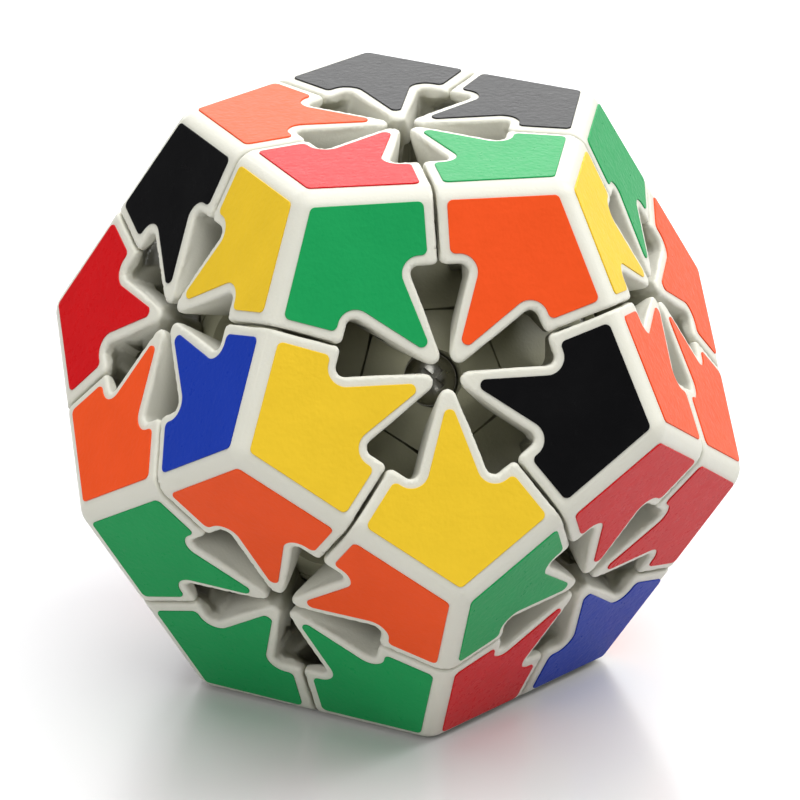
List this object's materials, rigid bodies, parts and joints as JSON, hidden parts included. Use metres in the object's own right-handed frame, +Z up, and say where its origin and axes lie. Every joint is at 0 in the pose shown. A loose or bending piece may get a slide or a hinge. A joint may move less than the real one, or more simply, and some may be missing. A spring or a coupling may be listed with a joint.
{
  "type": "dodecahedron twisty puzzle",
  "caption": "Face-turning dodecahedron puzzle of the corner-only kind, with star-shaped openings on each face and coloured stickers.",
  "frame": {"origin": "middle of the face the puzzle rests on", "axes": "+Z up, -Y towards the front face seen in the reference view, +X to its right"},
  "size_m": [0.0822, 0.0866, 0.07],
  "materials": {
    "corner_plastic": "satin warm white",
    "inner_plastic": "satin warm white, seen in shadow",
    "core_plastic": "satin",
    "screw_steel": "polished dome",
    "spring_steel": "drawn wire"
  },
  "bodies": {
    "core_body": {"core": "core_plastic", "screws": "screw_steel", "springs": "spring_steel", "centre_B": "inner_plastic"},
    "face_T": {"centre_T": "inner_plastic"},
    "face_U0": {"centre_U0": "inner_plastic"},
    "face_U1": {"centre_U1": "inner_plastic"},
    "face_U2": {"centre_U2": "inner_plastic"},
    "face_U3": {"centre_U3": "inner_plastic"},
    "face_U4": {"centre_U4": "inner_plastic"},
    "face_L0": {"centre_L0": "inner_plastic"},
    "face_L1": {"centre_L1": "inner_plastic"},
    "face_L2": {"centre_L2": "inner_plastic"},
    "face_L3": {"centre_L3": "inner_plastic"},
    "face_L4": {"centre_L4": "inner_plastic"},
    "under_edge_U4_L3": {"edge_U4_L3": "inner_plastic"},
    "under_edge_U1_L1": {"edge_U1_L1": "inner_plastic"},
    "under_edge_U2_L1": {"edge_U2_L1": "inner_plastic"},
    "under_edge_L1_L2": {"edge_L1_L2": "inner_plastic"},
    "under_edge_T_U1": {"edge_T_U1": "inner_plastic"},
    "under_edge_U0_U1": {"edge_U0_U1": "inner_plastic"},
    "under_edge_U0_L0": {"edge_U0_L0": "inner_plastic"},
    "under_edge_T_U4": {"edge_T_U4": "inner_plastic"},
    "under_edge_U1_U2": {"edge_U1_U2": "inner_plastic"},
    "under_edge_U3_L3": {"edge_U3_L3": "inner_plastic"},
    "under_edge_U1_L0": {"edge_U1_L0": "inner_plastic"},
    "under_edge_T_U0": {"edge_T_U0": "inner_plastic"},
    "under_edge_U4_L4": {"edge_U4_L4": "inner_plastic"},
    "under_edge_T_U3": {"edge_T_U3": "inner_plastic"},
    "under_edge_U2_U3": {"edge_U2_U3": "inner_plastic"},
    "under_edge_L0_L4": {"edge_L0_L4": "inner_plastic"},
    "under_edge_U2_L2": {"edge_U2_L2": "inner_plastic"},
    "under_edge_T_U2": {"edge_T_U2": "inner_plastic"},
    "under_edge_U0_U4": {"edge_U0_U4": "inner_plastic"},
    "under_edge_U0_L4": {"edge_U0_L4": "inner_plastic"},
    "under_edge_U3_U4": {"edge_U3_U4": "inner_plastic"},
    "under_edge_L2_L3": {"edge_L2_L3": "inner_plastic"},
    "under_edge_L3_L4": {"edge_L3_L4": "inner_plastic"},
    "under_edge_U3_L2": {"edge_U3_L2": "inner_plastic"},
    "under_edge_L0_L1": {"edge_L0_L1": "inner_plastic"},
    "piece_T_U3_U4": {"corner_T_U3_U4": "corner_plastic"},
    "piece_U3_L2_L3": {"corner_U3_L2_L3": "corner_plastic"},
    "piece_U1_L1_U2": {"corner_U1_L1_U2": "corner_plastic"},
    "piece_U0_U4_L4": {"corner_U0_U4_L4": "corner_plastic"},
    "piece_L1_B_L2": {"corner_L1_B_L2": "corner_plastic"},
    "piece_L0_L4_B": {"corner_L0_L4_B": "corner_plastic"},
    "piece_U4_L3_L4": {"corner_U4_L3_L4": "corner_plastic"},
    "piece_U1_L0_L1": {"corner_U1_L0_L1": "corner_plastic"},
    "piece_T_U2_U3": {"corner_T_U2_U3": "corner_plastic"},
    "piece_U0_L4_L0": {"corner_U0_L4_L0": "corner_plastic"},
    "piece_U3_L3_U4": {"corner_U3_L3_U4": "corner_plastic"},
    "piece_L3_B_L4": {"corner_L3_B_L4": "corner_plastic"},
    "piece_U0_L0_U1": {"corner_U0_L0_U1": "corner_plastic"},
    "piece_T_U1_U2": {"corner_T_U1_U2": "corner_plastic"},
    "piece_T_U4_U0": {"corner_T_U4_U0": "corner_plastic"},
    "piece_T_U0_U1": {"corner_T_U0_U1": "corner_plastic"},
    "piece_L2_B_L3": {"corner_L2_B_L3": "corner_plastic"},
    "piece_U2_L1_L2": {"corner_U2_L1_L2": "corner_plastic"},
    "piece_U2_L2_U3": {"corner_U2_L2_U3": "corner_plastic"},
    "piece_L0_B_L1": {"corner_L0_B_L1": "corner_plastic"}
  },
  "joints": [
    {"name": "turn_T", "type": "hinge", "parent": "core_body", "child": "face_T", "pos_m": [0, 0, 0.035], "axis": [0, 0, 1], "range_deg": [-72, 288]},
    {"name": "turn_U0", "type": "hinge", "parent": "core_body", "child": "face_U0", "pos_m": [0, 0, 0.035], "axis": [0, -0.8944, 0.4472], "range_deg": [-72, 288]},
    {"name": "turn_U1", "type": "hinge", "parent": "core_body", "child": "face_U1", "pos_m": [0, 0, 0.035], "axis": [0.8507, -0.2764, 0.4472], "range_deg": [-72, 288]},
    {"name": "turn_U2", "type": "hinge", "parent": "core_body", "child": "face_U2", "pos_m": [0, 0, 0.035], "axis": [0.5257, 0.7236, 0.4472], "range_deg": [-72, 288]},
    {"name": "turn_U3", "type": "hinge", "parent": "core_body", "child": "face_U3", "pos_m": [0, 0, 0.035], "axis": [-0.5257, 0.7236, 0.4472], "range_deg": [-72, 288]},
    {"name": "turn_U4", "type": "hinge", "parent": "core_body", "child": "face_U4", "pos_m": [0, 0, 0.035], "axis": [-0.8507, -0.2764, 0.4472], "range_deg": [-72, 288]},
    {"name": "turn_L0", "type": "hinge", "parent": "core_body", "child": "face_L0", "pos_m": [0, 0, 0.035], "axis": [0.5257, -0.7236, -0.4472], "range_deg": [-72, 288]},
    {"name": "turn_L1", "type": "hinge", "parent": "core_body", "child": "face_L1", "pos_m": [0, 0, 0.035], "axis": [0.8507, 0.2764, -0.4472], "range_deg": [-72, 288]},
    {"name": "turn_L2", "type": "hinge", "parent": "core_body", "child": "face_L2", "pos_m": [0, 0, 0.035], "axis": [0, 0.8944, -0.4472], "range_deg": [-72, 288]},
    {"name": "turn_L3", "type": "hinge", "parent": "core_body", "child": "face_L3", "pos_m": [0, 0, 0.035], "axis": [-0.8507, 0.2764, -0.4472], "range_deg": [-72, 288]},
    {"name": "turn_L4", "type": "hinge", "parent": "core_body", "child": "face_L4", "pos_m": [0, 0, 0.035], "axis": [-0.5257, -0.7236, -0.4472], "range_deg": [-72, 288]},
    {"name": "edge_U4_L3_with_L3", "type": "hinge", "parent": "face_U4", "child": "under_edge_U4_L3", "pos_m": [0, 0, 0.035], "axis": [-0.8507, 0.2764, -0.4472], "range_deg": [-72, 288]},
    {"name": "edge_U1_L1_with_U1", "type": "hinge", "parent": "face_L1", "child": "under_edge_U1_L1", "pos_m": [0, 0, 0.035], "axis": [0.8507, -0.2764, 0.4472], "range_deg": [-72, 288]},
    {"name": "edge_U2_L1_with_L1", "type": "hinge", "parent": "face_U2", "child": "under_edge_U2_L1", "pos_m": [0, 0, 0.035], "axis": [0.8507, 0.2764, -0.4472], "range_deg": [-72, 288]},
    {"name": "edge_L1_L2_with_L2", "type": "hinge", "parent": "face_L1", "child": "under_edge_L1_L2", "pos_m": [0, 0, 0.035], "axis": [0, 0.8944, -0.4472], "range_deg": [-72, 288]},
    {"name": "edge_T_U1_with_T", "type": "hinge", "parent": "face_U1", "child": "under_edge_T_U1", "pos_m": [0, 0, 0.035], "axis": [0, 0, 1], "range_deg": [-72, 288]},
    {"name": "edge_U0_U1_with_U1", "type": "hinge", "parent": "face_U0", "child": "under_edge_U0_U1", "pos_m": [0, 0, 0.035], "axis": [0.8507, -0.2764, 0.4472], "range_deg": [-72, 288]},
    {"name": "edge_U0_L0_with_U0", "type": "hinge", "parent": "face_L0", "child": "under_edge_U0_L0", "pos_m": [0, 0, 0.035], "axis": [0, -0.8944, 0.4472], "range_deg": [-72, 288]},
    {"name": "edge_T_U4_with_T", "type": "hinge", "parent": "face_U4", "child": "under_edge_T_U4", "pos_m": [0, 0, 0.035], "axis": [0, 0, 1], "range_deg": [-72, 288]},
    {"name": "edge_U1_U2_with_U2", "type": "hinge", "parent": "face_U1", "child": "under_edge_U1_U2", "pos_m": [0, 0, 0.035], "axis": [0.5257, 0.7236, 0.4472], "range_deg": [-72, 288]},
    {"name": "edge_U3_L3_with_U3", "type": "hinge", "parent": "face_L3", "child": "under_edge_U3_L3", "pos_m": [0, 0, 0.035], "axis": [-0.5257, 0.7236, 0.4472], "range_deg": [-72, 288]},
    {"name": "edge_U1_L0_with_L0", "type": "hinge", "parent": "face_U1", "child": "under_edge_U1_L0", "pos_m": [0, 0, 0.035], "axis": [0.5257, -0.7236, -0.4472], "range_deg": [-72, 288]},
    {"name": "edge_T_U0_with_T", "type": "hinge", "parent": "face_U0", "child": "under_edge_T_U0", "pos_m": [0, 0, 0.035], "axis": [0, 0, 1], "range_deg": [-72, 288]},
    {"name": "edge_U4_L4_with_U4", "type": "hinge", "parent": "face_L4", "child": "under_edge_U4_L4", "pos_m": [0, 0, 0.035], "axis": [-0.8507, -0.2764, 0.4472], "range_deg": [-72, 288]},
    {"name": "edge_T_U3_with_T", "type": "hinge", "parent": "face_U3", "child": "under_edge_T_U3", "pos_m": [0, 0, 0.035], "axis": [0, 0, 1], "range_deg": [-72, 288]},
    {"name": "edge_U2_U3_with_U3", "type": "hinge", "parent": "face_U2", "child": "under_edge_U2_U3", "pos_m": [0, 0, 0.035], "axis": [-0.5257, 0.7236, 0.4472], "range_deg": [-72, 288]},
    {"name": "edge_L0_L4_with_L0", "type": "hinge", "parent": "face_L4", "child": "under_edge_L0_L4", "pos_m": [0, 0, 0.035], "axis": [0.5257, -0.7236, -0.4472], "range_deg": [-72, 288]},
    {"name": "edge_U2_L2_with_U2", "type": "hinge", "parent": "face_L2", "child": "under_edge_U2_L2", "pos_m": [0, 0, 0.035], "axis": [0.5257, 0.7236, 0.4472], "range_deg": [-72, 288]},
    {"name": "edge_T_U2_with_T", "type": "hinge", "parent": "face_U2", "child": "under_edge_T_U2", "pos_m": [0, 0, 0.035], "axis": [0, 0, 1], "range_deg": [-72, 288]},
    {"name": "edge_U0_U4_with_U0", "type": "hinge", "parent": "face_U4", "child": "under_edge_U0_U4", "pos_m": [0, 0, 0.035], "axis": [0, -0.8944, 0.4472], "range_deg": [-72, 288]},
    {"name": "edge_U0_L4_with_L4", "type": "hinge", "parent": "face_U0", "child": "under_edge_U0_L4", "pos_m": [0, 0, 0.035], "axis": [-0.5257, -0.7236, -0.4472], "range_deg": [-72, 288]},
    {"name": "edge_U3_U4_with_U4", "type": "hinge", "parent": "face_U3", "child": "under_edge_U3_U4", "pos_m": [0, 0, 0.035], "axis": [-0.8507, -0.2764, 0.4472], "range_deg": [-72, 288]},
    {"name": "edge_L2_L3_with_L3", "type": "hinge", "parent": "face_L2", "child": "under_edge_L2_L3", "pos_m": [0, 0, 0.035], "axis": [-0.8507, 0.2764, -0.4472], "range_deg": [-72, 288]},
    {"name": "edge_L3_L4_with_L4", "type": "hinge", "parent": "face_L3", "child": "under_edge_L3_L4", "pos_m": [0, 0, 0.035], "axis": [-0.5257, -0.7236, -0.4472], "range_deg": [-72, 288]},
    {"name": "edge_U3_L2_with_L2", "type": "hinge", "parent": "face_U3", "child": "under_edge_U3_L2", "pos_m": [0, 0, 0.035], "axis": [0, 0.8944, -0.4472], "range_deg": [-72, 288]},
    {"name": "edge_L0_L1_with_L1", "type": "hinge", "parent": "face_L0", "child": "under_edge_L0_L1", "pos_m": [0, 0, 0.035], "axis": [0.8507, 0.2764, -0.4472], "range_deg": [-72, 288]},
    {"name": "corner_T_U3_U4_with_U4", "type": "hinge", "parent": "under_edge_T_U3", "child": "piece_T_U3_U4", "pos_m": [0, 0, 0.035], "axis": [-0.8507, -0.2764, 0.4472], "range_deg": [-72, 288]},
    {"name": "corner_U3_L2_L3_with_L2", "type": "hinge", "parent": "under_edge_U3_L3", "child": "piece_U3_L2_L3", "pos_m": [0, 0, 0.035], "axis": [0, 0.8944, -0.4472], "range_deg": [-72, 288]},
    {"name": "corner_U1_L1_U2_with_L1", "type": "hinge", "parent": "under_edge_U1_U2", "child": "piece_U1_L1_U2", "pos_m": [0, 0, 0.035], "axis": [0.8507, 0.2764, -0.4472], "range_deg": [-72, 288]},
    {"name": "corner_U0_U4_L4_with_U0", "type": "hinge", "parent": "under_edge_U4_L4", "child": "piece_U0_U4_L4", "pos_m": [0, 0, 0.035], "axis": [0, -0.8944, 0.4472], "range_deg": [-72, 288]},
    {"name": "corner_L1_B_L2_with_L2", "type": "hinge", "parent": "face_L1", "child": "piece_L1_B_L2", "pos_m": [0, 0, 0.035], "axis": [0, 0.8944, -0.4472], "range_deg": [-72, 288]},
    {"name": "corner_L0_L4_B_with_L0", "type": "hinge", "parent": "face_L4", "child": "piece_L0_L4_B", "pos_m": [0, 0, 0.035], "axis": [0.5257, -0.7236, -0.4472], "range_deg": [-72, 288]},
    {"name": "corner_U4_L3_L4_with_L3", "type": "hinge", "parent": "under_edge_U4_L4", "child": "piece_U4_L3_L4", "pos_m": [0, 0, 0.035], "axis": [-0.8507, 0.2764, -0.4472], "range_deg": [-72, 288]},
    {"name": "corner_U1_L0_L1_with_U1", "type": "hinge", "parent": "under_edge_L0_L1", "child": "piece_U1_L0_L1", "pos_m": [0, 0, 0.035], "axis": [0.8507, -0.2764, 0.4472], "range_deg": [-72, 288]},
    {"name": "corner_T_U2_U3_with_U3", "type": "hinge", "parent": "under_edge_T_U2", "child": "piece_T_U2_U3", "pos_m": [0, 0, 0.035], "axis": [-0.5257, 0.7236, 0.4472], "range_deg": [-72, 288]},
    {"name": "corner_U0_L4_L0_with_L4", "type": "hinge", "parent": "under_edge_U0_L0", "child": "piece_U0_L4_L0", "pos_m": [0, 0, 0.035], "axis": [-0.5257, -0.7236, -0.4472], "range_deg": [-72, 288]},
    {"name": "corner_U3_L3_U4_with_U4", "type": "hinge", "parent": "under_edge_U3_L3", "child": "piece_U3_L3_U4", "pos_m": [0, 0, 0.035], "axis": [-0.8507, -0.2764, 0.4472], "range_deg": [-72, 288]},
    {"name": "corner_L3_B_L4_with_L4", "type": "hinge", "parent": "face_L3", "child": "piece_L3_B_L4", "pos_m": [0, 0, 0.035], "axis": [-0.5257, -0.7236, -0.4472], "range_deg": [-72, 288]},
    {"name": "corner_U0_L0_U1_with_U0", "type": "hinge", "parent": "under_edge_U1_L0", "child": "piece_U0_L0_U1", "pos_m": [0, 0, 0.035], "axis": [0, -0.8944, 0.4472], "range_deg": [-72, 288]},
    {"name": "corner_T_U1_U2_with_U2", "type": "hinge", "parent": "under_edge_T_U1", "child": "piece_T_U1_U2", "pos_m": [0, 0, 0.035], "axis": [0.5257, 0.7236, 0.4472], "range_deg": [-72, 288]},
    {"name": "corner_T_U4_U0_with_U0", "type": "hinge", "parent": "under_edge_T_U4", "child": "piece_T_U4_U0", "pos_m": [0, 0, 0.035], "axis": [0, -0.8944, 0.4472], "range_deg": [-72, 288]},
    {"name": "corner_T_U0_U1_with_U1", "type": "hinge", "parent": "under_edge_T_U0", "child": "piece_T_U0_U1", "pos_m": [0, 0, 0.035], "axis": [0.8507, -0.2764, 0.4472], "range_deg": [-72, 288]},
    {"name": "corner_L2_B_L3_with_L3", "type": "hinge", "parent": "face_L2", "child": "piece_L2_B_L3", "pos_m": [0, 0, 0.035], "axis": [-0.8507, 0.2764, -0.4472], "range_deg": [-72, 288]},
    {"name": "corner_U2_L1_L2_with_L1", "type": "hinge", "parent": "under_edge_U2_L2", "child": "piece_U2_L1_L2", "pos_m": [0, 0, 0.035], "axis": [0.8507, 0.2764, -0.4472], "range_deg": [-72, 288]},
    {"name": "corner_U2_L2_U3_with_U3", "type": "hinge", "parent": "under_edge_U2_L2", "child": "piece_U2_L2_U3", "pos_m": [0, 0, 0.035], "axis": [-0.5257, 0.7236, 0.4472], "range_deg": [-72, 288]},
    {"name": "corner_L0_B_L1_with_L1", "type": "hinge", "parent": "face_L0", "child": "piece_L0_B_L1", "pos_m": [0, 0, 0.035], "axis": [0.8507, 0.2764, -0.4472], "range_deg": [-72, 288]}
  ],
  "couplings": [
    {"joint": "edge_U4_L3_with_L3", "follows": "turn_L3", "ratio": 1},
    {"joint": "edge_U1_L1_with_U1", "follows": "turn_U1", "ratio": 1},
    {"joint": "edge_U2_L1_with_L1", "follows": "turn_L1", "ratio": 1},
    {"joint": "edge_L1_L2_with_L2", "follows": "turn_L2", "ratio": 1},
    {"joint": "edge_T_U1_with_T", "follows": "turn_T", "ratio": 1},
    {"joint": "edge_U0_U1_with_U1", "follows": "turn_U1", "ratio": 1},
    {"joint": "edge_U0_L0_with_U0", "follows": "turn_U0", "ratio": 1},
    {"joint": "edge_T_U4_with_T", "follows": "turn_T", "ratio": 1},
    {"joint": "edge_U1_U2_with_U2", "follows": "turn_U2", "ratio": 1},
    {"joint": "edge_U3_L3_with_U3", "follows": "turn_U3", "ratio": 1},
    {"joint": "edge_U1_L0_with_L0", "follows": "turn_L0", "ratio": 1},
    {"joint": "edge_T_U0_with_T", "follows": "turn_T", "ratio": 1},
    {"joint": "edge_U4_L4_with_U4", "follows": "turn_U4", "ratio": 1},
    {"joint": "edge_T_U3_with_T", "follows": "turn_T", "ratio": 1},
    {"joint": "edge_U2_U3_with_U3", "follows": "turn_U3", "ratio": 1},
    {"joint": "edge_L0_L4_with_L0", "follows": "turn_L0", "ratio": 1},
    {"joint": "edge_U2_L2_with_U2", "follows": "turn_U2", "ratio": 1},
    {"joint": "edge_T_U2_with_T", "follows": "turn_T", "ratio": 1},
    {"joint": "edge_U0_U4_with_U0", "follows": "turn_U0", "ratio": 1},
    {"joint": "edge_U0_L4_with_L4", "follows": "turn_L4", "ratio": 1},
    {"joint": "edge_U3_U4_with_U4", "follows": "turn_U4", "ratio": 1},
    {"joint": "edge_L2_L3_with_L3", "follows": "turn_L3", "ratio": 1},
    {"joint": "edge_L3_L4_with_L4", "follows": "turn_L4", "ratio": 1},
    {"joint": "edge_U3_L2_with_L2", "follows": "turn_L2", "ratio": 1},
    {"joint": "edge_L0_L1_with_L1", "follows": "turn_L1", "ratio": 1},
    {"joint": "corner_T_U3_U4_with_U4", "follows": "turn_U4", "ratio": 1},
    {"joint": "corner_U3_L2_L3_with_L2", "follows": "turn_L2", "ratio": 1},
    {"joint": "corner_U1_L1_U2_with_L1", "follows": "turn_L1", "ratio": 1},
    {"joint": "corner_U0_U4_L4_with_U0", "follows": "turn_U0", "ratio": 1},
    {"joint": "corner_L1_B_L2_with_L2", "follows": "turn_L2", "ratio": 1},
    {"joint": "corner_L0_L4_B_with_L0", "follows": "turn_L0", "ratio": 1},
    {"joint": "corner_U4_L3_L4_with_L3", "follows": "turn_L3", "ratio": 1},
    {"joint": "corner_U1_L0_L1_with_U1", "follows": "turn_U1", "ratio": 1},
    {"joint": "corner_T_U2_U3_with_U3", "follows": "turn_U3", "ratio": 1},
    {"joint": "corner_U0_L4_L0_with_L4", "follows": "turn_L4", "ratio": 1},
    {"joint": "corner_U3_L3_U4_with_U4", "follows": "turn_U4", "ratio": 1},
    {"joint": "corner_L3_B_L4_with_L4", "follows": "turn_L4", "ratio": 1},
    {"joint": "corner_U0_L0_U1_with_U0", "follows": "turn_U0", "ratio": 1},
    {"joint": "corner_T_U1_U2_with_U2", "follows": "turn_U2", "ratio": 1},
    {"joint": "corner_T_U4_U0_with_U0", "follows": "turn_U0", "ratio": 1},
    {"joint": "corner_T_U0_U1_with_U1", "follows": "turn_U1", "ratio": 1},
    {"joint": "corner_L2_B_L3_with_L3", "follows": "turn_L3", "ratio": 1},
    {"joint": "corner_U2_L1_L2_with_L1", "follows": "turn_L1", "ratio": 1},
    {"joint": "corner_U2_L2_U3_with_U3", "follows": "turn_U3", "ratio": 1},
    {"joint": "corner_L0_B_L1_with_L1", "follows": "turn_L1", "ratio": 1}
  ]
}
